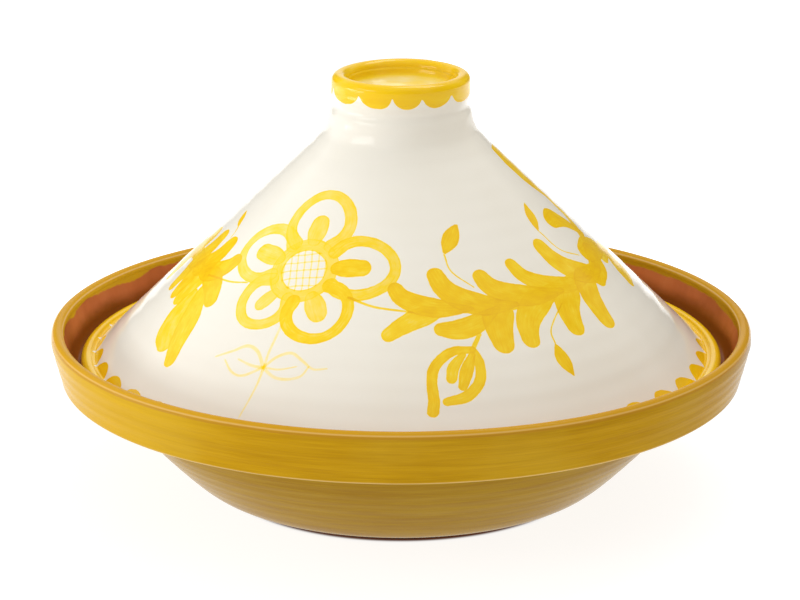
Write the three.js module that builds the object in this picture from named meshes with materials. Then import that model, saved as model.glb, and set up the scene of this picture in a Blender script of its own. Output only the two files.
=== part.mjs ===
// Glazed earthenware tagine: a round dish with a flat foot, an inner ledge and an upright rim, and a
// conical lid with a cupped knob that stands on the ledge. Millimetres, +Z up, origin at the centre of
// the foot on the table. Both pieces are turned about the Z axis.
import * as THREE from "three";

// Driving dimensions
const RIM_RADIUS = 160; // the dish's widest circle
const RIM_CREST = 77; // height of the dish's lip
const BAND_HEIGHT = 24; // upright band outside the rim
const BAND_LEAN = 4.3; // how far the band leans out as it rises
const WALL = 5.5; // fired wall thickness
const FOOT_RADIUS = 81.5;
const FOOT_RING = 11; // width of the ring that the dish stands on
const FOOT_RECESS = 1.5; // height of the underside inside that ring
const LID_RADIUS = 147; // outside of the lid's rolled edge
const LID_TOP = 192.3; // height of the knob's lip with the lid on
const KNOB_RADIUS = 32;
const NECK_RADIUS = 37.5; // where the cone's straight slope ends under the knob
const CUP_DEPTH = 12; // of the cup in the knob
const CONE_RISE = 0.97; // height gained per millimetre of radius lost on the lid's cone
const CONE_SWELL = 0.8; // how far the slope stands proud of straight, half way up
const CONE_SPAN = 100; // radius over which the slope swells
const SEAT_GAP = 0.3; // the lid stands this far above the ledge
const TURNS = 48; // facets round the axis

const at = (r, z) => new THREE.Vector2(r, z);

// Points on an arc of a circle about a centre, from one angle to another in degrees
function arc(centre, radius, from, to, steps) {
  const points = [];
  for (let i = 0; i <= steps; i++) {
    const a = THREE.MathUtils.degToRad(from + ((to - from) * i) / steps);
    points.push(at(centre.x + radius * Math.cos(a), centre.y + radius * Math.sin(a)));
  }
  return points;
}

// Points on one smooth curve through the given points
function flowing(through, steps) {
  return new THREE.SplineCurve(through).getPoints(steps);
}

// A solid of revolution about Z from an outline of (radius, height) that starts and ends on the axis
function turned(outline) {
  return new THREE.LatheGeometry(outline, TURNS).rotateX(Math.PI / 2);
}

// ---- Dish ----

const bandBottom = RIM_CREST - BAND_HEIGHT;
const bandBottomRadius = RIM_RADIUS - BAND_LEAN;
const ledgeHeight = bandBottom + WALL;
const ledgeOuter = bandBottomRadius - WALL; // foot of the rim's inner wall
const ledgeInner = 132.5; // where the ledge turns down into the bowl
const bowlTopRadius = 134.5; // outside of the bowl just under the band
const lipRadius = WALL / 2;
const lipCentre = at(RIM_RADIUS - lipRadius - 0.4, RIM_CREST - lipRadius);
const edgeRadius = 1.6; // rounding of the foot's and the band's lower edges
const cornerRadius = 2; // rounding where the rim's inner wall meets the ledge
const ledgeEdgeRadius = 2.5;
const floorHeight = FOOT_RECESS + WALL + 0.5;

// Both sides of the bowl's curved wall, from the foot up
const bowlOutside = [at(86, 2.6), at(96, 7.4), at(110.5, 21), at(123.5, 35.5), at(132.9, 50)];
const bowlInside = [at(77.5, 8.1), at(90, 10.6), at(105, 22), at(119.5, 38), at(130.5, 53)];

function footOutline() {
  return [
    at(0, FOOT_RECESS),
    at(FOOT_RADIUS - FOOT_RING - FOOT_RECESS, FOOT_RECESS),
    at(FOOT_RADIUS - FOOT_RING, 0),
    ...arc(at(FOOT_RADIUS - edgeRadius, edgeRadius), edgeRadius, -90, -25, 2),
  ];
}

function rimOutline() {
  return [
    // underside of the ledge, out to the band
    at(bowlTopRadius, bandBottom - 0.7),
    at(bowlTopRadius + 2, bandBottom),
    ...arc(at(bandBottomRadius - edgeRadius, bandBottom + edgeRadius), edgeRadius, -90, 0, 2),
    // band and rounded lip
    at(RIM_RADIUS - BAND_LEAN / 2 + 0.4, (lipCentre.y + bandBottom) / 2),
    at(RIM_RADIUS, lipCentre.y - 1),
    ...arc(lipCentre, lipRadius, 0, 180, 6),
    // inside of the rim, down to the ledge and along it
    at(ledgeOuter + 1.2, ledgeHeight + 6),
    ...arc(at(ledgeOuter - 1.8, ledgeHeight + cornerRadius), cornerRadius, 0, -90, 2),
    ...arc(at(ledgeInner + 2, ledgeHeight - ledgeEdgeRadius), ledgeEdgeRadius, 90, 150, 2),
  ];
}

function dishOutline() {
  return [
    ...footOutline(),
    ...flowing(bowlOutside, 7),
    ...rimOutline(),
    ...flowing([at(65.5, floorHeight), ...bowlInside], 8).reverse(),
    at(0, floorHeight),
  ];
}

// ---- Lid ----

const seat = ledgeHeight + SEAT_GAP;
const beadRadius = 3.4; // rolled edge
const beadCentre = at(LID_RADIUS - beadRadius, seat + beadRadius - 0.6);
const coneFoot = at(LID_RADIUS - 6.8, seat + 4); // the groove between rolled edge and cone
const neckBottom = at(NECK_RADIUS, coneFoot.y + (coneFoot.x - NECK_RADIUS) * CONE_RISE);
const waist = at(KNOB_RADIUS - 1.4, LID_TOP - 16);
const knobLipRadius = 3.2;
const knobLip = at(KNOB_RADIUS - 3.6, LID_TOP - knobLipRadius);
const cupFloor = LID_TOP - CUP_DEPTH;
const crownRadius = 7; // rounding at the top of the hollow
const slantX = 1 / Math.hypot(1, 1 / CONE_RISE); // outward normal of the cone: radius part
const slantZ = 1 / Math.hypot(1, CONE_RISE); // and height part

// A point of the cone's outside, a number of millimetres of radius in from its foot
function outsideCone(run) {
  const swell = CONE_SWELL * Math.sin((run / CONE_SPAN) * Math.PI);
  return at(coneFoot.x - run, coneFoot.y + run * CONE_RISE + swell);
}

// A point of the cone's inside, one wall in from an outside radius
function insideCone(radius) {
  const z = coneFoot.y + (coneFoot.x - radius) * CONE_RISE;
  return at(radius - WALL * slantX, z - WALL * slantZ);
}

// From the closed top of the hollow down to the flat seat
function hollowOutline() {
  return [
    at(0, cupFloor - WALL),
    at(12, cupFloor - WALL - 0.6),
    ...arc(at(waist.x - WALL - crownRadius, waist.y - 8.5), crownRadius, 75, 0, 3),
    at(neckBottom.x - WALL - 2.4, neckBottom.y - 1.5),
    insideCone(44),
    insideCone(90),
    insideCone(coneFoot.x - 2.5),
    at(LID_RADIUS - 10, seat + 0.8),
    at(LID_RADIUS - 9, seat),
  ];
}

function knobOutline() {
  return [
    ...flowing(
      [
        at(neckBottom.x + 3, neckBottom.y - 2.9),
        at(34.6, neckBottom.y + 4.2),
        at(33, neckBottom.y + 8),
        at(waist.x + 1.1, waist.y - 3.5),
        waist,
        at(KNOB_RADIUS - 0.5, waist.y + 4.2),
        at(KNOB_RADIUS, LID_TOP - 8),
      ],
      8,
    ),
    ...arc(knobLip, knobLipRadius, 10, 170, 4),
    // cup in the knob
    ...flowing([at(KNOB_RADIUS - 8.4, LID_TOP - 7), at(KNOB_RADIUS - 13.2, cupFloor + 1.2), at(12, cupFloor)], 4),
    at(0, cupFloor),
  ];
}

function lidOutline() {
  return [
    ...hollowOutline(),
    // seat and rolled edge
    at(beadCentre.x - 0.6, seat),
    ...arc(beadCentre, beadRadius, -42, 125, 6),
    coneFoot,
    ...flowing([1.6, 20, 45, 70, 92].map(outsideCone), 5),
    ...knobOutline(),
  ];
}

// ---- Assembly ----

const honeyGlaze = new THREE.MeshStandardMaterial({ color: 0xcf9a22, roughness: 0.22, metalness: 0 });
const whiteGlaze = new THREE.MeshStandardMaterial({ color: 0xf1ede2, roughness: 0.15, metalness: 0 });

const dish = new THREE.Mesh(turned(dishOutline()), honeyGlaze);
dish.name = "base_dish";

const lid = new THREE.Mesh(turned(lidOutline()), whiteGlaze);
lid.name = "lid";

const tagine = new THREE.Group();
tagine.add(dish, lid);

export default tagine;
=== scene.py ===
"""A glazed earthenware tagine: a honey-glazed dish and a white conical lid with yellow brush painting.

Both pieces are turned about the Z axis, so each is one closed mesh built from an outline of (radius, height)
in millimetres. The painting is laid out on the cone as if it were unrolled flat. Every brush stroke is a
curve with a width, and each vertex of the lid stores how deep it lies in the strokes that reach it. The
glaze's shader turns that into pigment with streaks, pooled edges and darker overlaps.
"""

import copy
import math

import bpy
import numpy as np
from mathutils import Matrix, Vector


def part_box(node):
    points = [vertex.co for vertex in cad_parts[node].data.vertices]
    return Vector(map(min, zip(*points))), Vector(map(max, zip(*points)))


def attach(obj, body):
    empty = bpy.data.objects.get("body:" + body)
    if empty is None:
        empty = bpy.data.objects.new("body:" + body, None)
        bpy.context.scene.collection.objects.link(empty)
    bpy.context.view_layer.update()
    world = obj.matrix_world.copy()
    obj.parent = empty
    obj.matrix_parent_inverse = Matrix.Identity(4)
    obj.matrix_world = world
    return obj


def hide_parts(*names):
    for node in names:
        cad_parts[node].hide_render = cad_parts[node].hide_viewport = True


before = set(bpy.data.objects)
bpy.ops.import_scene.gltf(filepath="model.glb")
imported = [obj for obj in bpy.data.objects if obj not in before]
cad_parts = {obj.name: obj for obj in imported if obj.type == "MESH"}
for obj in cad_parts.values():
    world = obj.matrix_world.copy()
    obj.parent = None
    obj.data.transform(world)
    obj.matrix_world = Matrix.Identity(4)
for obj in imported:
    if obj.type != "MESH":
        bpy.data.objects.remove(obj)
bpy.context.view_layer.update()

MM = 0.001
_, dish_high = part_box("base_dish")
lid_low, lid_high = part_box("lid")

# Sizes that the frame gives, in millimetres
RIM_RADIUS = dish_high.x / MM
RIM_CREST = dish_high.z / MM
SEAT = lid_low.z / MM
LID_RADIUS = lid_high.x / MM
LID_TOP = lid_high.z / MM

# Sizes that go with them
WALL = 5.5
BAND_HEIGHT = 24.0
BAND_LEAN = 4.3  # how far the band leans out as it rises
FOOT_RADIUS = 81.5
KNOB_RADIUS = 31.6
CONE_RISE = 0.97  # height gained per millimetre of radius lost
CONE_FOOT_RADIUS = LID_RADIUS - 6.7
CONE_FOOT_HEIGHT = SEAT + 4.0
SLANT = math.hypot(1, CONE_RISE)  # length along the cone per millimetre of radius


# ---------------- outlines

def arc(centre, radius, start, end, steps):
    """Points on a circle about (radius, height), from one angle to another in degrees."""
    angles = np.radians(np.linspace(start, end, steps + 1))
    return [(centre[0] + radius * math.cos(a), centre[1] + radius * math.sin(a)) for a in angles]


def catmull(points, per_span=24):
    """A dense smooth curve through points of any number of coordinates."""
    p = np.array(points, float)
    p = np.vstack([2 * p[0] - p[1], p, 2 * p[-1] - p[-2]])
    t = np.linspace(0, 1, per_span, endpoint=False)[:, None]
    spans = []
    for a, b, c, d in zip(p, p[1:], p[2:], p[3:]):
        square = 2 * a - 5 * b + 4 * c - d
        cube = 3 * b - a - 3 * c + d
        spans.append(0.5 * (2 * b + (c - a) * t + square * t**2 + cube * t**3))
    return np.vstack(spans + [p[-2:-1]])


def spaced(curve, step):
    """The same curve with points a step apart, measured over its first two coordinates."""
    curve = np.asarray(curve, float)
    run = np.r_[0, np.cumsum(np.hypot(*np.diff(curve[:, :2], axis=0).T))]
    count = max(2, int(math.ceil(run[-1] / step)) + 1)
    at = np.linspace(0, run[-1], count)
    return np.stack([np.interp(at, run, column) for column in curve.T], axis=1)


def flowing(points, step):
    """Points a step apart on one smooth curve."""
    return [tuple(p) for p in spaced(catmull(points), step)]


def straight(points, step):
    """Points a step apart on straight runs between the given ones."""
    return [tuple(p) for p in spaced(points, step)]


# ---------------- turned meshes

def stitch(low, low_count, high, high_count):
    """Faces between two rings of vertices, given the first number and the count of each. 1 is a pole."""
    if low_count == high_count:
        i = np.arange(low_count)
        j = (i + 1) % low_count
        return np.stack([low + i, low + j, high + j, high + i], 1).tolist()
    if low_count == 1:
        i = np.arange(high_count)
        return np.stack([np.full_like(i, low), high + (i + 1) % high_count, high + i], 1).tolist()
    if high_count == 1:
        i = np.arange(low_count)
        return np.stack([low + i, low + (i + 1) % low_count, np.full_like(i, high)], 1).tolist()
    faces = []
    i = j = 0
    while i < low_count or j < high_count:
        if (i + 1) * high_count <= (j + 1) * low_count and i < low_count or j == high_count:
            faces.append((low + i % low_count, low + (i + 1) % low_count, high + j % high_count))
            i += 1
        else:
            faces.append((low + i % low_count, high + (j + 1) % high_count, high + j % high_count))
            j += 1
    return faces


ON_AXIS = 1e-6  # a ring with a smaller radius is a single vertex


class Turned:
    """A closed mesh of revolution, with the numbers of each vertex that materials and painting need."""

    def __init__(self, outline, counts):
        rows = [(0.0, z, 1) if r < ON_AXIS else (r, z, n) for (r, z), n in zip(outline, counts)]
        starts = np.cumsum([0] + [n for _, _, n in rows])
        self.row = np.concatenate([np.full(n, k) for k, (_, _, n) in enumerate(rows)])
        self.radius = np.concatenate([np.full(n, r, float) for r, _, n in rows])
        self.height = np.concatenate([np.full(n, z, float) for _, z, n in rows])
        self.angle = np.concatenate([np.arange(n) * 2 * math.pi / n for _, _, n in rows])
        steps = np.hypot(*np.diff(np.array(outline, float), axis=0).T)
        self.row_run = np.r_[0, np.cumsum(steps)]  # length of the outline up to each ring
        self.faces = []
        self.face_row = []
        for k in range(len(rows) - 1):
            faces = stitch(int(starts[k]), rows[k][2], int(starts[k + 1]), rows[k + 1][2])
            self.faces += faces
            self.face_row += [k] * len(faces)

    def mesh(self, name, radius, height):
        """The mesh with vertices at these radii and heights, in metres. Angle 0 is the front, at -Y."""
        place = np.stack([radius * np.sin(self.angle), -radius * np.cos(self.angle), height], 1) * MM
        data = bpy.data.meshes.new(name)
        data.from_pydata(place.tolist(), [], self.faces)
        data.update()
        data.shade_smooth()
        return data


def store(data, name, *columns):
    """Writes one number, or three, on each vertex of a mesh, for a shader to read."""
    kind, field = ("FLOAT", "value") if len(columns) == 1 else ("FLOAT_VECTOR", "vector")
    layer = data.attributes.new(name, kind, "POINT")
    layer.data.foreach_set(field, np.stack(columns, 1).astype(np.float32).ravel())


def piece(name, data, body, node, materials, material_of_row, face_row):
    """The object for a mesh, riding on its body in place of its CAD node."""
    made = bpy.data.objects.new(name, data)
    bpy.context.scene.collection.objects.link(made)
    for material in materials:
        data.materials.append(material)
    data.polygons.foreach_set("material_index", np.array([material_of_row(k) for k in face_row], np.int32))
    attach(made, body)
    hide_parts(node)


def wobble(size, angle, waves):
    """A slow wobble round the axis, as a hand-thrown pot has, from 0 down to minus twice its size.

    Each wave is a number of waves round the axis, a share and a phase.
    """
    total = sum(share * np.cos(n * angle + phase) for n, share, phase in waves)
    return size * total / sum(share for _, share, _ in waves) - size


# ---------------- shader helpers

class Nodes:
    """Builds shader nodes by expression. Numbers and sockets can be given alike."""

    def __init__(self, tree):
        self.tree = tree

    def node(self, kind, **settings):
        made = self.tree.nodes.new(kind)
        for name, value in settings.items():
            setattr(made, name, value)
        return made

    def put(self, socket, value):
        if isinstance(value, bpy.types.NodeSocket):
            self.tree.links.new(value, socket)
        elif value is not None:
            socket.default_value = value

    def feed(self, made, inputs):
        for name, value in inputs.items():
            self.put(made.inputs[name], value)

    def math(self, operation, *values):
        made = self.node("ShaderNodeMath", operation=operation)
        for socket, value in zip(made.inputs, values):
            self.put(socket, value)
        return made.outputs[0]

    def times(self, a, b):
        return self.math("MULTIPLY", a, b)

    def total(self, values):
        result = values[0]
        for value in values[1:]:
            result = self.math("ADD", result, value)
        return result

    def swing(self, value, size):
        """A value between 0 and 1, turned into one that swings this much in all about 0."""
        return self.math("MULTIPLY_ADD", value, size, -size / 2)

    def fade(self, value, start, end, low=0.0, high=1.0, smooth=True):
        """low up to start, high from end on, and a change from one to the other between them."""
        made = self.node("ShaderNodeMapRange", interpolation_type="SMOOTHSTEP" if smooth else "LINEAR")
        self.feed(made, {"Value": value, "From Min": start, "From Max": end, "To Min": low, "To Max": high})
        return made.outputs["Result"]

    def near(self, value, centre, outer, inner):
        """1 within the inner distance of a centre, fading to 0 at the outer distance."""
        return self.fade(self.math("ABSOLUTE", self.math("SUBTRACT", value, centre)), outer, inner)

    def attribute(self, name):
        return self.node("ShaderNodeAttribute", attribute_name=name)

    def split(self, vector):
        made = self.node("ShaderNodeSeparateXYZ")
        self.put(made.inputs[0], vector)
        return made.outputs

    def join(self, x, y, z):
        made = self.node("ShaderNodeCombineXYZ")
        for socket, value in zip(made.inputs, (x, y, z)):
            self.put(socket, value)
        return made.outputs[0]

    def noise(self, vector, scale, detail=2.0, roughness=0.5, distortion=0.0):
        made = self.node("ShaderNodeTexNoise")
        self.feed(made, {"Vector": vector, "Scale": scale, "Detail": detail})
        self.feed(made, {"Roughness": roughness, "Distortion": distortion})
        return made.outputs["Fac"]

    def ramp(self, value, stops):
        made = self.node("ShaderNodeValToRGB")
        self.put(made.inputs[0], value)
        elements = made.color_ramp.elements
        while len(elements) < len(stops):
            elements.new(0.5)
        for element, (at, colour) in zip(elements, stops):
            element.position = at
            element.color = (*colour, 1.0)
        return made.outputs["Color"]

    def mix(self, factor, a, b):
        """From colour a to colour b. A colour is a socket or three numbers."""
        made = self.node("ShaderNodeMix", data_type="RGBA")
        for socket, value in ((made.inputs[0], factor), (made.inputs[6], a), (made.inputs[7], b)):
            self.put(socket, (*value, 1.0) if isinstance(value, tuple) else value)
        return made.outputs[2]

    def bump(self, height, distance, strength):
        made = self.node("ShaderNodeBump")
        self.feed(made, {"Height": height, "Distance": distance, "Strength": strength})
        return made.outputs["Normal"]


class Shader(Nodes):
    """One material. Its place is the object's own coordinates, in metres."""

    def __init__(self, name):
        self.material = bpy.data.materials.new(name)
        self.material.use_nodes = True
        super().__init__(self.material.node_tree)
        self.surface = self.tree.nodes["Principled BSDF"]
        self.place = self.node("ShaderNodeTexCoord").outputs["Object"]

    def stretched(self, x, y, z):
        """The place times a factor along each axis."""
        made = self.node("ShaderNodeVectorMath", operation="MULTIPLY")
        self.put(made.inputs[0], self.place)
        made.inputs[1].default_value = (x, y, z)
        return made.outputs[0]

    def finish(self, colour, roughness, normal=None, ior=1.45):
        self.feed(self.surface, {"Base Color": colour, "Roughness": roughness, "Normal": normal, "IOR": ior})
        return self.material


# ---------------- camera, floor and lights

CAMERA_DISTANCE = 8.5 * RIM_RADIUS * MM
CAMERA_ELEVATION = 16.89
AIM_HEIGHT = 0.5347 * RIM_RADIUS * MM
AIM_LEFT = 0.00046  # the pot stands just right of the middle of the frame
LENS = 133.7


def look_at(thing, target):
    thing.rotation_euler = (Vector(target) - thing.location).to_track_quat("-Z", "Y").to_euler()


def add_camera():
    camera = bpy.data.objects.new("camera", bpy.data.cameras.new("camera"))
    bpy.context.scene.collection.objects.link(camera)
    camera.data.lens = LENS
    camera.data.clip_end = 50
    tilt = math.radians(CAMERA_ELEVATION)
    aim = Vector((-AIM_LEFT, 0, AIM_HEIGHT))
    camera.location = aim + CAMERA_DISTANCE * Vector((0, -math.cos(tilt), math.sin(tilt)))
    look_at(camera, aim)
    bpy.context.scene.camera = camera


def toward(azimuth, elevation):
    """The direction this far round to the right of the camera's side, and this far up, in degrees."""
    a, e = math.radians(azimuth), math.radians(elevation)
    return Vector((math.sin(a) * math.cos(e), -math.cos(a) * math.cos(e), math.sin(e)))


def softbox(name, azimuth, elevation, distance, width, height, power):
    """A rectangular light that faces the pot."""
    light = bpy.data.objects.new(name, bpy.data.lights.new(name, "AREA"))
    bpy.context.scene.collection.objects.link(light)
    light.data.shape = "RECTANGLE"
    light.data.size = width
    light.data.size_y = height
    light.data.energy = power
    light.location = Vector((0, 0, AIM_HEIGHT)) + distance * toward(azimuth, elevation)
    look_at(light, (0, 0, AIM_HEIGHT))


ROOM_COLOUR = (0.95, 0.94, 0.92)
# azimuth, elevation, inner and outer angle from that direction, and colour
ROOM_SHADES = (
    (94, 5, 30, 54, (0.34, 0.29, 0.22)),  # dim on the right
    (4, 4, 20, 60, (0.48, 0.46, 0.42)),  # dim on the camera's side
    (-90, 45, 15, 45, (0.64, 0.64, 0.62)),  # a little dim above left
    (150, 12, 12, 24, (0.14, 0.13, 0.12)),  # two dark cards behind the pot
    (-150, 12, 12, 24, (0.14, 0.13, 0.12)),
)


def add_room():
    """A white room with dimmer parts, which the glaze reflects."""
    world = bpy.data.worlds.new("studio")
    bpy.context.scene.world = world
    world.use_nodes = True
    room = Nodes(world.node_tree)
    direction = room.node("ShaderNodeTexCoord").outputs["Generated"]
    colour = ROOM_COLOUR
    for azimuth, elevation, inner, outer, shade in ROOM_SHADES:
        facing = room.node("ShaderNodeVectorMath", operation="DOT_PRODUCT")
        room.put(facing.inputs[0], direction)
        facing.inputs[1].default_value = toward(azimuth, elevation)
        near = math.cos(math.radians(inner))
        far = math.cos(math.radians(outer))
        colour = room.mix(room.fade(facing.outputs["Value"], far, near), colour, shade)
    background = world.node_tree.nodes["Background"]
    room.put(background.inputs["Color"], colour)


# The floor's brighter patch starts and ends this far behind the pot's middle, in metres
PATCH_START = 0.24
PATCH_END_LEFT = 0.65
PATCH_END_RIGHT = 1.17
# Light that the paper gives off: most of it, the bright patch, and a dim ring right under the foot's edge
# that is a painted contact shadow
PAPER_GLOW = (1, 0.995, 0.985)
PATCH_GLOW = (1.8, 1.8, 1.79)
SHADE_GLOW = (0.07, 0.015, 0.004)


def add_floor():
    """A pale paper floor, lit through from below so that it stays bright, most of all behind the pot.

    Its glow is dimmed in a ring round the foot, as a painted contact shadow.
    """
    bpy.ops.mesh.primitive_plane_add(size=12)
    floor = bpy.context.object
    floor.name = "floor"
    paper = Shader("floor_paper")
    fibres = paper.noise(paper.place, 900, 2)
    colour = paper.mix(paper.fade(fibres, 0.3, 0.7), (0.25, 0.25, 0.25), (0.27, 0.27, 0.27))
    floor.data.materials.append(paper.finish(colour, 0.9))
    x, y, _ = paper.split(paper.place)
    end = paper.fade(x, 0.0, 0.05, PATCH_END_LEFT, PATCH_END_RIGHT)
    before_end = paper.fade(paper.math("SUBTRACT", y, end), 0.03, 0.0)
    behind = paper.times(paper.fade(y, PATCH_START, PATCH_START + 0.06), before_end)
    glow = paper.mix(behind, PAPER_GLOW, PATCH_GLOW)
    out = paper.math("SQRT", paper.total([paper.times(x, x), paper.times(y, y)]))
    # painted contact shadow: the glow dims right round the foot
    glow = paper.mix(paper.fade(out, (FOOT_RADIUS + 3) * MM, FOOT_RADIUS * MM), glow, SHADE_GLOW)
    paper.feed(paper.surface, {"Emission Color": glow, "Emission Strength": 0.88, "Specular IOR Level": 0.1})


def add_stage():
    add_room()
    add_floor()
    # azimuth, elevation, distance, width, height and power of each
    softbox("key_left", -62, 28, 1.3, 0.8, 0.24, 2.3)
    softbox("low_left", -82, 2, 1.3, 0.8, 0.3, 4.6)
    softbox("overhead", 145, 66, 1.5, 0.9, 0.5, 6.0)
    bpy.context.scene.view_settings.view_transform = "Standard"


# ---------------- dish

BAND_BOTTOM = RIM_CREST - BAND_HEIGHT
BAND_BOTTOM_RADIUS = RIM_RADIUS - BAND_LEAN
LEDGE = SEAT - 0.3  # the lid stands this far above the ledge
LIP_RADIUS = WALL / 2
LIP_CENTRE = (RIM_RADIUS - LIP_RADIUS - 0.4, RIM_CREST - LIP_RADIUS)
LEDGE_OUTER = BAND_BOTTOM_RADIUS - WALL
LEDGE_INNER = 132.5
FOOT_RECESS = 1.5  # height of the underside inside the foot's ring
RECESS_RADIUS = FOOT_RADIUS - 11.0
FLOOR_HEIGHT = FOOT_RECESS + WALL + 0.5


def dish_sections():
    """The dish's outline in named stretches, from under its middle, round the lip, to its floor."""
    return {
        "underside": straight([(0, FOOT_RECESS), (RECESS_RADIUS - 2, FOOT_RECESS)], 7)
        + flowing(
            [
                (RECESS_RADIUS - 2, FOOT_RECESS),
                (RECESS_RADIUS - 0.7, FOOT_RECESS * 0.55),
                (RECESS_RADIUS + 0.4, 0.12),
                (RECESS_RADIUS + 1.4, 0),
            ],
            0.5,
        ),
        "foot": straight([(RECESS_RADIUS + 1.4, 0), (FOOT_RADIUS - 2, 0)], 2),
        "foot_side": arc((FOOT_RADIUS - 1.8, 1.6), 1.6, -90, -20, 5)
        + flowing([(FOOT_RADIUS - 0.2, 1.2), (FOOT_RADIUS + 1.2, 2.2), (FOOT_RADIUS + 4.5, 2.8)], 0.6),
        "bowl": flowing(
            [
                (FOOT_RADIUS + 4.5, 2.8),
                (96, 7.4),
                (110.5, 21),
                (123.5, 35.5),
                (133.2, BAND_BOTTOM - 3),
                (135.4, BAND_BOTTOM - 0.5),
                (138.5, BAND_BOTTOM + 0.2),
            ],
            1.6,
        ),
        "band": straight([(138.5, BAND_BOTTOM + 0.2), (BAND_BOTTOM_RADIUS - 2.2, BAND_BOTTOM)], 2.0)
        + arc((BAND_BOTTOM_RADIUS - 1.9, BAND_BOTTOM + 1.9), 1.9, -90, 5, 7)
        + flowing(
            [
                (BAND_BOTTOM_RADIUS + 0.05, BAND_BOTTOM + 2.6),
                (BAND_BOTTOM_RADIUS + 1.5, BAND_BOTTOM + 8),
                (BAND_BOTTOM_RADIUS + 3.0, BAND_BOTTOM + 14),
                (RIM_RADIUS - 0.15, LIP_CENTRE[1] - 2.4),
            ],
            1.0,
        ),
        "lip": arc((LIP_CENTRE[0] + 0.1, LIP_CENTRE[1] - 0.1), LIP_RADIUS + 0.1, -8, 188, 22),
        "inner_wall": flowing(
            [
                (LIP_CENTRE[0] - LIP_RADIUS, LIP_CENTRE[1] - 1.2),
                (LEDGE_OUTER + 1.6, LEDGE + 7),
                (LEDGE_OUTER + 0.5, LEDGE + 3.2),
                (LEDGE_OUTER - 1.2, LEDGE + 0.8),
                (LEDGE_OUTER - 3.6, LEDGE + 0.05),
            ],
            1.0,
        ),
        "ledge": straight([(LEDGE_OUTER - 3.6, LEDGE), (LEDGE_INNER + 2, LEDGE)], 3)
        + arc((LEDGE_INNER + 2, LEDGE - 2.5), 2.5, 90, 150, 5),
        "inside": flowing(
            [
                (LEDGE_INNER - 0.6, BAND_BOTTOM + 2.5),
                (128, 47.5),
                (119.5, 38),
                (105, 22),
                (90, 10.8),
                (FOOT_RADIUS - 6, FLOOR_HEIGHT + 0.35),
                (FOOT_RADIUS - 20, FLOOR_HEIGHT),
            ],
            2.5,
        )
        + straight([(FOOT_RADIUS - 20, FLOOR_HEIGHT), (0, FLOOR_HEIGHT)], 7),
    }


RING_COUNTS = (32, 64, 128, 256, 384, 512, 768)


def ring_count(radius, step):
    """How many vertices a ring needs for this spacing, as one of a few counts, so that few rings differ."""
    for count in RING_COUNTS:
        if 2 * math.pi * radius / count <= step:
            return count
    return RING_COUNTS[-1]


def joined(sections):
    """The sections end to end, with the name of the section that each row starts."""
    outline, names = [], []
    for name, points in sections.items():
        for p in points:
            if outline and math.hypot(p[0] - outline[-1][0], p[1] - outline[-1][1]) < 0.05:
                continue
            outline.append(p)
            names.append(name)
    return outline, names


def brown_colour(s):
    """The red-brown of earthenware seen through clear glaze."""
    return s.ramp(
        s.noise(s.stretched(30, 30, 12), 1.0, 4, 0.6),
        [(0.30, (0.40, 0.112, 0.032)), (0.55, (0.52, 0.150, 0.046)), (0.75, (0.58, 0.185, 0.062))],
    )


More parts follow.
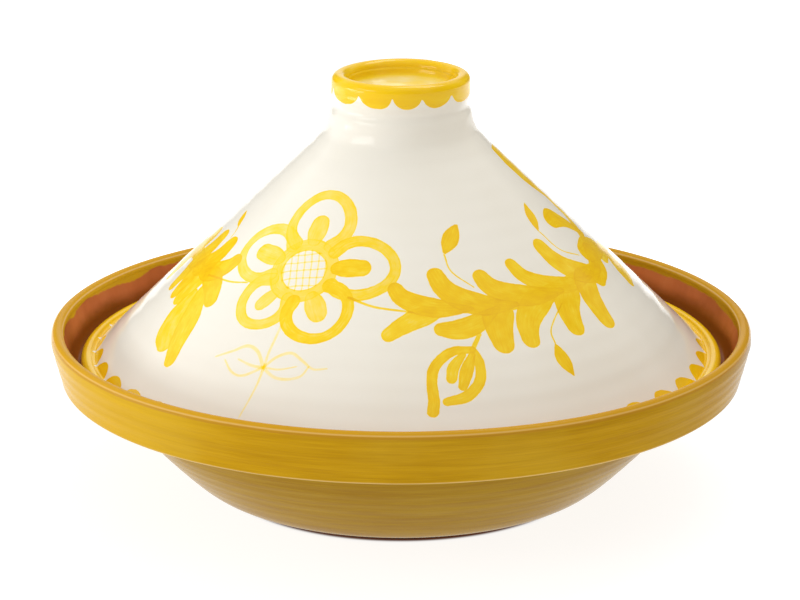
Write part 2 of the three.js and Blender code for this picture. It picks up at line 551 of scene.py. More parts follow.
def honey_glaze():
    """Yellow-brown glaze brushed on in level strokes, redder on the lip, over a brown glazed inside."""
    s = Shader("honey_glaze")
    from_crest = s.attribute("from_crest").outputs["Fac"]  # mm from the lip's crest toward the inside
    from_edge = s.attribute("from_edge").outputs["Fac"]  # mm from the band's lower edge toward the lip
    across, _, level = s.split(s.place)
    broad = s.noise(s.stretched(9, 9, 130), 1.0, 3, 0.55, 0.5)
    fine = s.noise(s.stretched(26, 26, 900), 1.0, 4, 0.65, 0.3)
    hair = s.noise(s.stretched(48, 48, 2600), 1.0, 2, 0.6)
    brushed = s.total([s.times(broad, 0.34), s.times(fine, 0.34), s.times(hair, 0.32)])
    honey = s.ramp(
        s.total([s.swing(brushed, 1.5), 0.5]),
        [
            (0.05, (0.345, 0.165, 0.003)),
            (0.36, (0.44, 0.230, 0.004)),
            (0.60, (0.53, 0.293, 0.006)),
            (0.92, (0.63, 0.370, 0.014)),
        ],
    )
    drag = s.noise(s.stretched(17, 17, 620), 1.0, 3, 0.6, 0.6)
    cloud = s.noise(s.place, 14, 3, 0.55)
    # the bowl's colour: a duller glaze, darkened with painted shade and greyed with painted reflection of the
    # floor
    thin = s.mix(s.fade(brushed, 0.36, 0.64), (0.29, 0.155, 0.014), (0.37, 0.225, 0.016))
    ragged = s.swing(s.noise(s.place, 60, 3), 2.2)
    ragged_edge = s.total([from_edge, s.times(ragged, 0.3)])
    ragged_crest = s.total([from_crest, s.times(ragged, 0.25)])
    # where each change to the honey lies, how strong it is, and its colour
    changes = [
        # dragged strokes and pale clouds
        (s.fade(drag, 0.58, 0.72), 0.22, (0.40, 0.20, 0.012)),
        (s.fade(cloud, 0.45, 0.7), 0.25, (0.60, 0.40, 0.04)),
        # paler on the left and darker at the right end: painted light from the key on the left, and painted
        # shade on the right
        (s.fade(across, -0.06, -0.15), 0.5, (0.76, 0.47, 0.020)),
        (s.fade(across, 0.14, 0.158), 0.5, (0.36, 0.17, 0.005)),
        # thinner, darker and greyer on the bowl under the band: partly a duller glaze, partly painted shade
        # and painted reflection of the floor
        (s.fade(level, (BAND_BOTTOM + 1) * MM, (BAND_BOTTOM - 1) * MM), 0.86, thin),
        # pale just above the foot, and a dark line round the foot itself: dark clay with painted contact
        # shadow where it meets the floor
        (s.fade(level, 4.0 * MM, 2.8 * MM), 0.6, (0.60, 0.42, 0.18)),
        (s.fade(level, 2.8 * MM, 2.2 * MM), 1.0, (0.05, 0.018, 0.008)),
        # pale where the glaze breaks over the band's lower edge
        (s.near(ragged_edge, 0.0, 1.0, 0.2), 0.50, (0.80, 0.58, 0.22)),
        # orange over the lip, with a redder line under it
        (s.near(ragged_crest, 0.0, 4.0, 2.8), 0.75, (0.66, 0.34, 0.020)),
        (s.near(ragged_crest, -3.6, 0.9, 0.1), 0.55, (0.45, 0.20, 0.025)),
        # a pale thread along each side of the lip: painted highlights
        (s.near(from_crest, -2.7, 0.6, 0.1), 0.28, (0.94, 0.72, 0.36)),
        (s.near(from_crest, 2.6, 0.6, 0.1), 0.35, (0.94, 0.74, 0.42)),
    ]
    for mask, strength, colour in changes:
        honey = s.mix(s.times(mask, strength), honey, colour)
    # the honey ends inside the lip in a torn line
    torn = s.swing(s.noise(s.stretched(28, 28, 60), 1.0, 4, 0.6), 9.0)
    depth = s.total([from_crest, torn, s.times(ragged, 0.5)])
    # the brown darkens further down inside the wall: painted shade in the gap under the lid
    brown = s.mix(s.fade(depth, 9, 17), brown_colour(s), (0.26, 0.072, 0.009))
    colour = s.mix(s.fade(depth, 5.6, 6.8), honey, brown)
    ripple = s.total([s.noise(s.stretched(14, 14, 110), 1.0, 3), s.times(fine, 0.05)])
    return s.finish(colour, 0.20, s.bump(ripple, 0.00018, 0.7), ior=1.12)


def bare_clay():
    """Unglazed fired earthenware, as on the foot. Its brown is partly painted shade, darker than the clay
    itself, for the shadow under the pot.
    """
    s = Shader("bare_clay")
    grain = s.noise(s.place, 1400, 4, 0.7)
    patches = s.noise(s.place, 45, 4, 0.6)
    # colours of the clay, darkened with painted shade
    colour = s.ramp(
        s.total([s.times(grain, 0.35), s.times(patches, 0.65)]),
        [(0.30, (0.085, 0.030, 0.013)), (0.50, (0.14, 0.052, 0.024)), (0.72, (0.21, 0.092, 0.048))],
    )
    return s.finish(colour, 0.86, s.bump(grain, 0.00025, 0.7), ior=1.15)


def add_dish(clay):
    outline, names = joined(dish_sections())
    step = {"bowl": 1.9, "band": 1.4, "lip": 1.4, "inner_wall": 1.9, "foot": 2.2, "foot_side": 2.2}
    counts = [ring_count(r, step.get(name, 4.5)) for (r, _), name in zip(outline, names)]
    dish = Turned(outline, counts)
    named = np.array(names)[dish.row]
    # hand-thrown: faint throwing rings, and a rim that is a little out of round
    outside = np.isin(named, ["bowl", "band"])
    rings = 0.10 * np.sin(dish.height * 1.25 + 1.3 * np.cos(dish.angle + 0.6)) * outside
    out_of_round = wobble(0.18, dish.angle, [(2, 1.0, 0.4), (3, 0.6, 2.1), (5, 0.3, 4.0)])
    radius = dish.radius + (rings + out_of_round) * np.clip(dish.height / 30, 0, 1) * (dish.radius > 60)
    radius = np.minimum(radius, RIM_RADIUS - 0.02)
    wavy_lip = wobble(0.12, dish.angle, [(2, 1.0, 1.9), (4, 0.7, 0.3), (7, 0.3, 5.0)])
    height = dish.height + wavy_lip * (named == "lip")
    data = dish.mesh("base_dish_glazed", radius, height)
    crest_row = max(range(len(outline)), key=lambda k: outline[k][1])
    edge_row = min(
        range(len(outline)),
        key=lambda k: math.hypot(outline[k][0] - BAND_BOTTOM_RADIUS, outline[k][1] - BAND_BOTTOM),
    )
    run = dish.row_run[dish.row]
    store(data, "from_crest", run - dish.row_run[crest_row])
    store(data, "from_edge", run - dish.row_run[edge_row])
    bare_rows = {"underside", "foot"}
    piece(
        "dish", data, "dish", "base_dish", [honey_glaze(), clay],
        lambda k: 1 if names[k] in bare_rows else 0, dish.face_row,
    )


# ---------------- lid's shape

def cone_point(run):
    """A point of the slightly swelling cone's outside, this far in from its foot in radius."""
    return CONE_FOOT_RADIUS - run, CONE_FOOT_HEIGHT + run * CONE_RISE + 0.8 * math.sin(run / 100 * math.pi)


NECK_RADIUS = 37.5
NECK_FOOT = CONE_FOOT_HEIGHT + (CONE_FOOT_RADIUS - NECK_RADIUS) * CONE_RISE
CUP_FLOOR = LID_TOP - 12.0
BEAD_RADIUS = 3.0
BEAD_CENTRE = (LID_RADIUS - BEAD_RADIUS - 0.1, SEAT + 2.4)


def inside_cone(radius):
    """A point of the cone's inside, one wall in from an outside radius."""
    z = CONE_FOOT_HEIGHT + (CONE_FOOT_RADIUS - radius) * CONE_RISE
    return radius - WALL * CONE_RISE / SLANT, z - WALL / SLANT


def lid_sections():
    """The lid's outline in named stretches, from the knob's cup, down the outside, to the hollow's top."""
    shoulder = cone_point(CONE_FOOT_RADIUS - NECK_RADIUS - 3)
    neck = [
        shoulder,
        (NECK_RADIUS - 0.2, NECK_FOOT + 0.6),
        (35.3, NECK_FOOT + 3.1),
        (34.1, NECK_FOOT + 5.4),
        (33.4, NECK_FOOT + 7.3),
        (33.1, NECK_FOOT + 8.6),
        (32.7, NECK_FOOT + 10.4),
        (32.0, NECK_FOOT + 12.5),
        (31.1, NECK_FOOT + 14.3),
        (30.7, NECK_FOOT + 15.9),
        (KNOB_RADIUS - 0.5, NECK_FOOT + 18.6),
        (KNOB_RADIUS, NECK_FOOT + 21.2),
        (KNOB_RADIUS - 0.1, LID_TOP - 5.6),
    ]
    return {
        "cup": flowing(
            [(0, CUP_FLOOR + 0.2), (8, CUP_FLOOR), (15, CUP_FLOOR + 0.7), (20.5, CUP_FLOOR + 3.1),
             (23.4, LID_TOP - 6), (24.4, LID_TOP - 3.4)],
            0.9,
        ),
        "knob": arc((KNOB_RADIUS - 3.6, LID_TOP - 3.5), 3.5, 178, 2, 20),
        "neck": flowing(neck[::-1], 0.75),
        "cone": [cone_point(run) for run in np.arange(CONE_FOOT_RADIUS - NECK_RADIUS - 4, 2, -1.3 / SLANT)],
        "groove": flowing(
            [cone_point(2.0), cone_point(0.8), (CONE_FOOT_RADIUS + 0.1, CONE_FOOT_HEIGHT - 0.1),
             (CONE_FOOT_RADIUS + 0.9, CONE_FOOT_HEIGHT + 0.1),
             (CONE_FOOT_RADIUS + 1.7, CONE_FOOT_HEIGHT + 0.55)],
            0.45,
        ),
        "bead": arc(BEAD_CENTRE, BEAD_RADIUS, 128, -50, 18),
        "seat": straight([(BEAD_CENTRE[0] + 1.2, SEAT), (LID_RADIUS - 9, SEAT)], 2.5)
        + flowing([(LID_RADIUS - 9.6, SEAT + 0.2), (LID_RADIUS - 10.4, SEAT + 1.2)], 0.7),
        "hollow": straight([inside_cone(CONE_FOOT_RADIUS - 2.6), inside_cone(44)], 5)
        + flowing(
            [inside_cone(43), (30.5, NECK_FOOT - 2), (25.2, NECK_FOOT + 4), (21.5, CUP_FLOOR - WALL - 2.6),
             (12, CUP_FLOOR - WALL - 0.6), (0, CUP_FLOOR - WALL)],
            2.5,
        ),
    }


# ---------------- painting on the lid
#
# The cone unrolls flat. A place on it is (degrees round from the flower, millimetres down the slope from the
# cone's point). A motif may be drawn instead in its own flat millimetres, x to the right and y up the slope.

TURN = 1 / SLANT  # how far the unrolled cone turns for a turn of the real one
FLOWER_AZIMUTH = -31.0  # the flower's middle, in degrees round from the front
SECOND_FLOWER = 215.0  # the one at the back, in degrees round from the first
FLOWER_DOWN = 114.0  # the flower's middle, in millimetres down the slope
FLOWER_PLACE = (0.0, FLOWER_DOWN)


def flat_place(origin, x, y):
    """The place at x, y millimetres from an origin place."""
    degrees, down = origin
    return degrees + math.degrees(math.atan2(x, down - y)) / TURN, math.hypot(x, down - y)


class Stroke:
    """One pull of the brush: a smooth line with a half width in millimetres, and the pigment it leaves."""

    def __init__(self, places, widths, ink=1.0, thin=False):
        places = np.array(places, float)
        self.origin = places[:, 0].mean()
        self.ink = ink
        self.thin = thin
        x, y = self.flat(places[:, 0], places[:, 1])
        half = np.interp(np.linspace(0, 1, len(x)), np.linspace(0, 1, len(widths)), widths) / 2
        self.line = spaced(catmull(np.column_stack([x, y, half]), 16), 0.5)
        self.line[:, 2] = np.maximum(self.line[:, 2], 0.15)
        self.run = np.r_[0, np.cumsum(np.hypot(*np.diff(self.line[:, :2], axis=0).T))]
        step = np.gradient(self.line[:, :2], axis=0)
        self.heading = step / np.hypot(*step.T)[:, None]

    def flat(self, degrees, down):
        """Places as x, y on the cone unrolled about this stroke's own line down the slope."""
        turn = np.radians((degrees - self.origin + 180) % 360 - 180) * TURN
        return down * np.sin(turn), -down * np.cos(turn)

    def shifted(self, degrees, mirror=False):
        """The same stroke further round the lid, or its mirror image about the flower moved there."""
        twin = copy.copy(self)
        twin.origin = degrees - self.origin if mirror else degrees + self.origin
        if mirror:
            twin.line = self.line * (-1, 1, 1)
            twin.heading = self.heading * (-1, 1)
        return twin

    def reach(self, degrees, down, margin):
        """The vertices near the stroke, with their depth inside it, their place along it and to its side."""
        x, y = self.flat(degrees, down)
        margin = margin + self.line[:, 2].max()
        left, bottom = self.line[:, :2].min(axis=0) - margin
        right, top = self.line[:, :2].max(axis=0) + margin
        near = np.flatnonzero((x > left) & (x < right) & (y > bottom) & (y < top))
        dx = x[near, None] - self.line[:, 0]
        dy = y[near, None] - self.line[:, 1]
        depth = self.line[:, 2] - np.hypot(dx, dy)
        best = depth.argmax(axis=1)
        pick = np.arange(len(near))
        ahead = self.heading[best, 0] * dx[pick, best] + self.heading[best, 1] * dy[pick, best]
        side = self.heading[best, 0] * dy[pick, best] - self.heading[best, 1] * dx[pick, best]
        return near, depth[pick, best], self.run[best] + ahead, side


LEAF_PRESS = (0.90, 1.08, 1.22, 1.32, 1.24, 0.80, 0.3)  # a leaf's width from its tip to the stem


def leaf(tip, foot, width, sweep, ink):
    """A comma pressed down at its tip, which turns as it is drawn in to run along the stem."""
    t = np.linspace(0, 1, 7)
    degrees = tip[0] + (foot[0] - tip[0]) * t**sweep
    down = tip[1] + (foot[1] - tip[1]) * (1 - (1 - t) ** 2)
    return Stroke(np.column_stack([degrees, down]), [width * p for p in LEAF_PRESS], ink)


def garland(leaves):
    """Leaves that all run in to one stem: degrees and down of tip and foot, width, sweep, pigment of each."""
    return [leaf((a, b), (c, d), width, sweep, ink) for a, b, c, d, width, sweep, ink in leaves]


def pulls(rows):
    """Strokes from their places, widths and pigment."""
    return [Stroke(places, widths, ink) for places, widths, ink in rows]


def hair(places, width, ink):
    """A thin line drawn with the brush's point."""
    return Stroke(places, [width * 1.2, width, width * 0.8], ink, thin=True)


def bud(tip, foot, width, stem):
    """A pointed bud on a thread of a stem."""
    middle = ((tip[0] + foot[0]) / 2 - 0.3, (tip[1] + foot[1]) / 2)
    drop = Stroke([tip, middle, foot], [0.8, width * 0.8, width * 1.25, width * 0.75, 0.8])
    return [drop, hair([foot] + stem, 0.7, 0.7)]


def petal(direction, reach, spread, dab_reach, dab_width, ink, dab_ink):
    """A looped outline about the flower's middle, with a dab inside it that points the same way."""
    out = math.radians(direction)
    inner = 11.0
    length = (reach - inner) / 2
    loop = []
    for turn in np.radians(np.linspace(-146, 146, 13)):
        along = inner + length + length * math.cos(turn)
        across = spread * math.sin(turn) * (1 - 0.10 * math.cos(turn))
        x = along * math.sin(out) + across * math.cos(out)
        y = along * math.cos(out) - across * math.sin(out)
        loop.append(flat_place(FLOWER_PLACE, x, y))
    dab = []
    for along in (15.6, 20.0, dab_reach - dab_width / 2):
        dab.append(flat_place(FLOWER_PLACE, along * math.sin(out), along * math.cos(out)))
    return pulls([
        (loop, [6.6, 5.4, 5.0, 4.8, 5.4, 5.8, 6.8], ink),
        (dab, [dab_width * 0.72, dab_width, dab_width * 0.9], dab_ink),
    ])


def flower():
    strokes = []
    # direction in degrees clockwise from up, reach, half width, reach and width of the dab, pigment of each
    for row in (
        (-5, 39.5, 14.2, 29, 9.4, 0.52, 0.50),
        (74, 41.0, 13.5, 31, 9.0, 0.62, 0.84),
        (141, 36.4, 14.0, 29, 9.6, 0.70, 0.50),
        (215, 33.5, 12.0, 27, 7.0, 0.50, 0.44),
        (286, 39.0, 13.0, 31, 9.4, 0.48, 0.52),
    ):
        strokes += petal(*row)
    turns = np.linspace(0.4, 6.9, 16)  # radians, a little more than once round the eye
    ring = [flat_place(FLOWER_PLACE, 13.3 * math.sin(a), 13.1 * math.cos(a)) for a in turns]
    strokes.append(Stroke(ring, [6.2, 5.4, 6.6, 5.8, 6.2], 0.50))
    return strokes


def right_garland():
    """The garland to the right of the flower, with its buds and the tulip that hangs from it."""
    strokes = garland([
        # upper side
        (29.3, 119.5, 50, 130.5, 7.4, 1.5, 1.0),
        (41.5, 113.3, 63, 131.5, 8.6, 1.5, 1.0),
        (55.4, 116, 80, 130.5, 8.4, 1.6, 0.95),
        (67.5, 112.6, 95, 130.5, 7.0, 1.6, 0.85),
        (83.6, 108, 103, 130, 9.4, 1.5, 0.9),
        # lower side
        (28.0, 141.8, 42, 131.5, 7.2, 1.0, 0.75),
        (55.2, 148.8, 59.5, 132, 11.0, 2.2, 0.95),
        (62.4, 149.0, 77, 131, 9.6, 1.8, 0.85),
        (76.4, 148.0, 86, 130, 10.8, 1.6, 0.9),
        (87.6, 150.4, 96, 128, 10.6, 1.8, 0.95),
    ])
    strokes += pulls([
        ([(40.8, 139.6), (45, 140.2), (50, 138), (57, 132)], [6.4, 9.4, 9.0, 3.0], 0.9),
        ([(44, 130.5), (60, 131), (80, 129), (103, 129)], [4.0, 6.4, 7.4, 6.4], 0.7),
        # past the bend, where the garland climbs the lid
        ([(104, 121), (110, 121.5), (117, 124)], [11.0, 14.0, 9.0], 1.0),
        ([(108, 122), (104, 128), (98, 133)], [10.0, 12.0, 9.0], 1.0),
        ([(100.8, 99.5), (104.5, 99.5), (110, 105), (115, 114)], [9.0, 11.0, 7.0, 5.0], 1.0),
        ([(119.5, 131), (118, 138), (114, 145.5)], [7.0, 14.0, 6.0], 0.95),
        ([(121, 53), (116.5, 64), (116, 78), (119, 91)], [4.0, 10.0, 9.0, 4.0], 1.0),
        ([(119, 91), (117.5, 106), (110, 120)], [4.0, 5.0, 6.0], 0.9),
    ])
    strokes.append(hair([(16.5, 124.5), (24, 128.5), (34, 131)], 1.1, 0.7))
    strokes += bud((53.3, 88.5), (45.5, 103), 6.0, [(46.7, 112), (52.5, 121)])
    strokes += bud((93.5, 86.5), (88.3, 101), 4.8, [(91.5, 113), (99, 120)])
    strokes += bud((68.5, 169.5), (68, 153.5), 5.6, [(69.2, 146), (77, 136)])
    # the tulip's outer petals, the strokes between them, and its stalk
    knot = (47.4, 150.3)
    strokes += pulls([
        (
            [knot, (42.4, 150.5), (38.3, 157), (37.3, 165), (37.4, 173), (37.0, 178)],
            [3.2, 4.2, 4.6, 4.6, 5.0, 5.2],
            0.9,
        ),
        ([knot, (48.2, 157), (47.2, 165.5), (44, 171.7), (39.9, 173.7)], [3.4, 4.4, 4.8, 5.0, 3.8], 0.8),
        ([(45, 152), (42.4, 157.5), (41.5, 163)], [2.6, 5.0, 4.8], 0.75),
        ([(47, 152.5), (45, 160), (43.6, 167)], [3.0, 5.8, 4.2], 0.9),
        ([(50, 143), knot], [1.8, 2.2], 0.6),
    ])
    return strokes


def left_garland():
    """The shorter garland to the left of the flower, which ends in two long pendant leaves."""
    strokes = garland([
        (-25.5, 139.6, -38, 129, 8.6, 1.2, 0.9),
        (-28, 118.8, -42, 130.5, 8.6, 1.3, 0.95),
        (-38.0, 113.8, -47, 131, 10.0, 1.6, 0.95),
        (-48, 114.5, -52, 131, 10.0, 1.8, 0.9),
        (-39.0, 146, -37, 131, 10.0, 1.6, 0.7),
        (-43.4, 145.5, -46, 130, 9.0, 1.6, 0.85),
        (-49.0, 145, -51, 130, 8.0, 1.6, 0.85),
        (-57, 117, -62, 131, 9.0, 1.6, 0.9),
        (-60, 146, -64, 131, 9.0, 1.6, 0.9),
    ])
    strokes += pulls([
        ([(-34.6, 141), (-34.4, 152), (-32.0, 161), (-29.5, 165.5)], [5.0, 12.0, 14.0, 10.6], 0.66),
        ([(-31.8, 138), (-28.0, 151), (-26.0, 162), (-23.8, 172)], [7.0, 12.6, 10.6, 6.4], 0.78),
    ])
    strokes.append(hair([(-35, 130.5), (-24, 128.5), (-17, 126)], 0.9, 0.6))
    strokes += bud((-50, 98.5), (-43.2, 105.8), 3.0, [(-42, 109), (-41.5, 112)])
    return strokes


def sprig():
    """The flower's stem, drawn with the brush's point, with an outlined leaf on each side."""
    knot = (0.8, 162.5)
    pale = 0.20
    lines = [
        ([(0.8, 139), (0.6, 155), (1.0, 164), (1.0, 174), (0.3, 187)], 1.3),
        ([knot, (-2.2, 155.8), (-5.4, 154.2), (-8.4, 158), (-12, 162.6)], 1.7),
        ([knot, (-3, 168), (-6, 167.6), (-9.2, 163)], 1.4),
        ([knot, (-2, 162.7), (-6, 161.2)], 1.4),
        ([knot, (2.9, 156.8), (6, 153.8), (9, 156.5), (12, 160), (15, 159.2)], 1.5),
        ([knot, (4, 166), (7, 166.2), (9.8, 164), (10.9, 159.5)], 1.5),
        ([knot, (4.6, 162.2), (8.2, 159.8)], 1.0),
    ]
    return [Stroke(places, [width, width, width * 0.6], pale, thin=True) for places, width in lines]


def painting():
    """Every stroke on the lid. The back repeats the front's motifs, because both are painted alike."""
    bloom = flower()
    right = right_garland()
    stem = sprig()
    strokes = bloom + right + left_garland() + stem
    strokes += [stroke.shifted(SECOND_FLOWER) for stroke in bloom + stem]
    for stroke in right:
        if stroke.origin < 90:
            strokes.append(stroke.shifted(SECOND_FLOWER))
            strokes.append(stroke.shifted(SECOND_FLOWER, mirror=True))
    return strokes


def lobes(degrees, spacing, height, lean, gap, jitter):
    """The height of a scalloped edge of brushed dabs round the pot, with bare gaps between them."""
    turn = degrees / spacing + jitter * np.sin(np.radians(degrees) * 3.0 + 0.7)
    s = (2 * (turn % 1.0) - 1) * (1 + gap)
    s = s + lean * (1 - np.clip(s * s, 0, 1))
    return height * np.clip(1 - np.abs(s) ** 2.3, 0, 1) ** 0.6


# ---------------- lid's glaze and mesh

FAT_LAYERS = 4
HAIR_LAYERS = 5
OUTSIDE = -6.0  # depth stored where no stroke is near
FAT_MARGIN = 5.0  # how far beyond a stroke its depth is stored, in millimetres
HAIR_MARGIN = 2.2
FAT_CORE = 1.3  # a stroke takes its layer this far round it
EDGE = 0.22  # a stroke's edge fades over this distance to each side, in millimetres
RAMP_PIGMENT = 1.5  # the pigment at the dark end of the colour ramp


def free_layer(taken, core):
    """The layer in which the fewest of these vertices are taken. It takes them all."""
    chosen = int(np.argmin([np.count_nonzero(flags[core]) for flags in taken]))
    taken[chosen][core] = True
    return chosen


def lay_strokes(data, lid, painted):
    """Stores the strokes on the vertices, in layers, so that strokes that cross lie in different ones.

    A hair is narrower than the mesh's spacing, so its layers store its half width and how far each vertex
    lies to its side. Both change evenly from vertex to vertex, and the shader works out the depth from them.
    """
    where = np.flatnonzero(painted)
    degrees = np.degrees(lid.angle[where]) - FLOWER_AZIMUTH
    down = lid.radius[where] * SLANT
    count = len(lid.radius)
    fat = [np.tile([OUTSIDE, 0.0, 0.0, 0.0], (count, 1)) for _ in range(FAT_LAYERS)]
    hairs = [np.tile([OUTSIDE, 0.0, 0.0], (count, 1)) for _ in range(HAIR_LAYERS)]
    fat_taken = np.zeros((FAT_LAYERS, count), bool)
    hairs_taken = np.zeros((HAIR_LAYERS, count), bool)
    for number, stroke in enumerate(painting()):
        near, depth, along, side = stroke.reach(degrees, down, HAIR_MARGIN if stroke.thin else FAT_MARGIN)
        near = where[near]
        ink = np.full(len(near), stroke.ink)
        if stroke.thin:
            layer = hairs[free_layer(hairs_taken, near[depth > -HAIR_MARGIN])]
            before = layer[near, 0] - np.abs(layer[near, 1])
            better = (depth > before) & (depth > -HAIR_MARGIN)
            values = np.column_stack([depth + np.abs(side), side, ink])
        else:
            layer = fat[free_layer(fat_taken, near[depth > -FAT_CORE])]
            better = depth > layer[near, 0]
            # no two strokes start at the same place along, so that their streaks differ
            values = np.column_stack([depth, side, along + 37.0 * number, ink])
        layer[near[better]] = values[better]
    for k, layer in enumerate(fat):
        store(data, f"brush_{k}", *layer.T[:3])
        store(data, f"ink_{k}", layer[:, 3])
    for k, layer in enumerate(hairs):
        store(data, f"hair_{k}", *layer.T)


RIM_LOBES = 44
KNOB_LOBES = 12
EYE_RADII = (10.9, 10.7)  # half width and half height of the flower's eye
BORDER_RADIUS = 141.9  # inside this the lid's edge is only yellow where a dab reaches
KNOB_CUSPS = LID_TOP - 5.0  # the height where the knob's dabs meet
SOLID_BORDER = 6.0  # depth stored where the yellow covers everything
CUP_BORDER = 14.0  # depth stored in the knob's cup, where the yellow is a thinner wash


def lay_borders(data, lid, painted, named):
    """Stores how deep each vertex lies in the scalloped yellow edges of the lid and the knob."""
    degrees = np.degrees(lid.angle)
    azimuth = (degrees + 180) % 360 - 180
    rightward = np.clip((azimuth + 40) / 80, 0, 1)
    dab_height = 7.5 - 0.9 * rightward
    dab_lean = 0.10 + 0.32 * rightward
    rim = (lid.radius - BORDER_RADIUS) * SLANT + 2.2 * rightward
    rim += lobes(degrees - 3.4, 360 / RIM_LOBES, dab_height, dab_lean, 0.06, 0.12)
    rim = np.where(painted | (named == "groove"), rim, np.where(named == "bead", SOLID_BORDER, OUTSIDE))
    knob_lean = 0.12 * np.sin(np.radians(degrees))
    knob = lid.height - KNOB_CUSPS + lobes(degrees - 20, 360 / KNOB_LOBES, 5.2, knob_lean, 0.02, 0.16)
    knob = np.where(named == "knob", SOLID_BORDER, np.where(named == "neck", knob, OUTSIDE))
    cup = np.interp(LID_TOP - lid.height, (4.5, 8.5), (SOLID_BORDER, CUP_BORDER))
    knob = np.where(named == "cup", cup, knob)
    store(data, "border", np.clip(np.maximum(rim, knob), OUTSIDE, CUP_BORDER))


def lay_eyes(data, lid, painted):
    """Stores each vertex's place about a flower's middle, and its depth in that flower's eye."""
    degrees = np.degrees(lid.angle)
    down = lid.radius * SLANT
    eye = np.tile([0.0, 0.0, OUTSIDE], (len(degrees), 1))
    for centre in (FLOWER_AZIMUTH, FLOWER_AZIMUTH + SECOND_FLOWER):
        turn = np.radians((degrees - centre + 180) % 360 - 180) * TURN
        x = down * np.sin(turn)
        y = FLOWER_DOWN - down * np.cos(turn)
        depth = (1 - np.hypot(x / EYE_RADII[0], y / EYE_RADII[1])) * EYE_RADII[1]
        near = painted & (depth > OUTSIDE)
        eye[near] = np.column_stack([x, y, depth])[near]
    store(data, "eye", *eye.T)


def brush_pigment(s, k):
    """The pigment of one layer of strokes, streaked along them and pooled at their edges."""
    depth, side, along = s.split(s.attribute(f"brush_{k}").outputs["Vector"])
    ink = s.attribute(f"ink_{k}").outputs["Fac"]
    depth = s.total([depth, s.swing(s.noise(s.place, 420, 2), 0.5)])
    streak = s.noise(s.join(s.times(side, 1.5), s.times(along, 0.10), 0.0), 1.0, 3, 0.6)
    wash = s.noise(s.join(s.times(side, 0.25), s.times(along, 0.16), 3.0), 1.0, 2, 0.5)
    load = s.total([
        s.fade(streak, 0.25, 0.75, -0.20, 0.20, smooth=False),
        s.fade(wash, 0.3, 0.7, 0.72, 1.12, smooth=False),
        s.fade(depth, 1.1, 0.15, 0.0, 0.22),
    ])
    return s.times(s.times(s.fade(depth, -EDGE, EDGE), ink), load)


def hair_pigment(s, k):
    """The pigment of one layer of lines drawn with the brush's point."""
    reach, side, ink = s.split(s.attribute(f"hair_{k}").outputs["Vector"])
    depth = s.math("SUBTRACT", reach, s.math("ABSOLUTE", side))
    dabbed = s.fade(s.noise(s.place, 260, 2), 0.3, 0.7, 0.75, 1.2, smooth=False)
    return s.times(s.fade(depth, -EDGE, EDGE), s.times(ink, dabbed))


def eye_pigment(s):
    """Cross-hatching in the flowers' eyes, drawn with a hand that isn't quite steady."""
    x, y, depth = s.split(s.attribute("eye").outputs["Vector"])
    hand = s.swing(s.noise(s.place, 90, 1), 2.4)
    inside = s.fade(depth, -EDGE, EDGE)
    hatching = []
    # the direction in which each set of lines is counted, and the distance between its lines
    for across, up, pitch in ((0.96, 0.30, 3.3), (-0.26, 0.97, 4.1)):
        place = s.total([s.times(x, across), s.times(y, up), s.times(hand, 0.6), 100.0 * pitch])
        drawn = s.fade(s.math("PINGPONG", place, pitch / 2), 0.52, 0.22)
        hatching.append(s.times(s.times(drawn, inside), 0.26))
    return s.total(hatching)


def border_pigment(s):
    """The pigment of the scalloped edges, and of the thinner wash in the knob's cup."""
    border = s.attribute("border").outputs["Fac"]
    border = s.total([border, s.swing(s.noise(s.place, 220, 2), 0.9)])
    streak = s.noise(s.stretched(30, 30, 300), 1.0, 3, 0.6)
    load = s.total([
        s.fade(streak, 0.3, 0.7, 0.78, 1.16, smooth=False),
        s.fade(border, 1.2, 0.2, 0, 0.14),
        s.fade(border, 7.0, 13.0, 0, -0.76),
    ])
    return s.times(s.fade(border, -EDGE, EDGE), load)


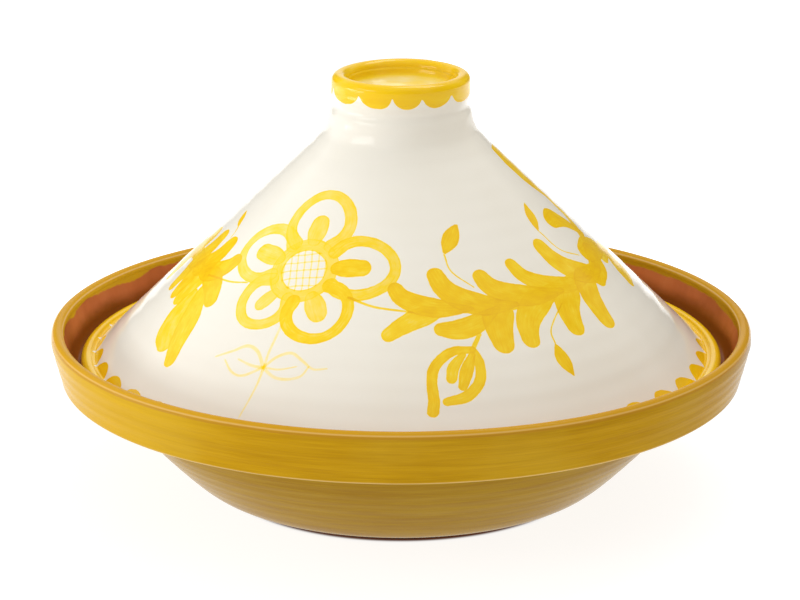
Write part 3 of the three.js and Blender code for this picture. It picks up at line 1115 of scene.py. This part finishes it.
def painted_glaze():
    """White tin glaze, brushed with yellow pigment that darkens where strokes cross."""
    s = Shader("painted_glaze")
    brushed = [brush_pigment(s, k) for k in range(FAT_LAYERS)]
    # where strokes cross, the fullest one shows and the others only deepen it
    fullest = brushed[0]
    for layer in brushed[1:]:
        fullest = s.math("MAXIMUM", fullest, layer)
    rest = s.math("SUBTRACT", s.total(brushed), fullest)
    pigments = [fullest, s.times(rest, 0.12)]
    pigments += [hair_pigment(s, k) for k in range(HAIR_LAYERS)]
    pigments += [eye_pigment(s), border_pigment(s)]
    pigment = s.math("DIVIDE", s.total(pigments), RAMP_PIGMENT)
    colour = s.ramp(
        pigment,
        [
            (0.0, (0.900, 0.868, 0.785)),
            (0.13, (0.975, 0.830, 0.400)),
            (0.26, (0.980, 0.745, 0.140)),
            (0.42, (0.975, 0.690, 0.020)),
            (0.62, (0.940, 0.600, 0.002)),
            (1.0, (0.860, 0.480, 0.001)),
        ],
    )
    glassy = s.noise(s.place, 30, 3, 0.5)
    uneven = s.times(s.fade(glassy, 0.35, 0.7, 0.0, 0.12), s.fade(pigment, 0.12, 0.0))
    mottled = s.mix(uneven, colour, (0.80, 0.74, 0.60))
    pitted = s.noise(s.place, 900, 2, 0.5)
    # the pigment stands slightly proud of the white glaze
    relief = s.total([glassy, s.times(s.fade(pigment, 0.05, 0.5), 0.10), s.times(pitted, 0.02)])
    return s.finish(mottled, 0.11, s.bump(relief, 0.00022, 0.7), ior=1.37)


def brown_glaze():
    """Earthenware under clear glaze, as inside the cone."""
    s = Shader("brown_glaze")
    ripple = s.noise(s.stretched(25, 25, 140), 1.0, 3)
    return s.finish(brown_colour(s), 0.16, s.bump(ripple, 0.00020, 0.8))


def add_lid(clay):
    outline, names = joined(lid_sections())
    step = {"cone": 1.22, "groove": 1.2, "bead": 1.2, "neck": 1.1, "knob": 1.1, "cup": 1.7, "seat": 3.0}
    counts = [ring_count(r, step.get(name, 5.0)) for (r, _), name in zip(outline, names)]
    lid = Turned(outline, counts)
    named = np.array(names)[lid.row]
    outside = np.isin(named, ["cone", "neck", "groove"])
    # hand-thrown: faint rings up the cone, and a knob that is a little out of round
    fade_out = np.clip((LID_TOP - lid.height) / 12, 0, 1) * np.clip((lid.height - SEAT - 6) / 10, 0, 1)
    rings = 0.07 * np.sin(lid.height * 0.9 + 0.8 * np.cos(lid.angle)) * outside * fade_out
    out_of_round = wobble(0.22, lid.angle, [(2, 1.0, 1.2), (3, 0.5, 0.2), (5, 0.25, 3.0)])
    radius = lid.radius + (rings + out_of_round) * (lid.radius > 20)
    wavy_lip = wobble(0.16, lid.angle, [(2, 1.0, 0.5), (3, 0.6, 2.9)])
    height = lid.height + wavy_lip * np.clip((lid.height - LID_TOP + 10) / 10, 0, 1)
    data = lid.mesh("lid_glazed", radius, height)
    painted = named == "cone"
    lay_strokes(data, lid, painted)
    lay_borders(data, lid, painted, named)
    lay_eyes(data, lid, painted)
    surface = {"seat": 1, "hollow": 2}
    piece(
        "lid_painted", data, "lid", "lid", [painted_glaze(), clay, brown_glaze()],
        lambda k: surface.get(names[k], 0), lid.face_row,
    )


bpy.ops.object.select_all(action="DESELECT")
add_camera()
add_stage()
clay = bare_clay()
add_dish(clay)
add_lid(clay)
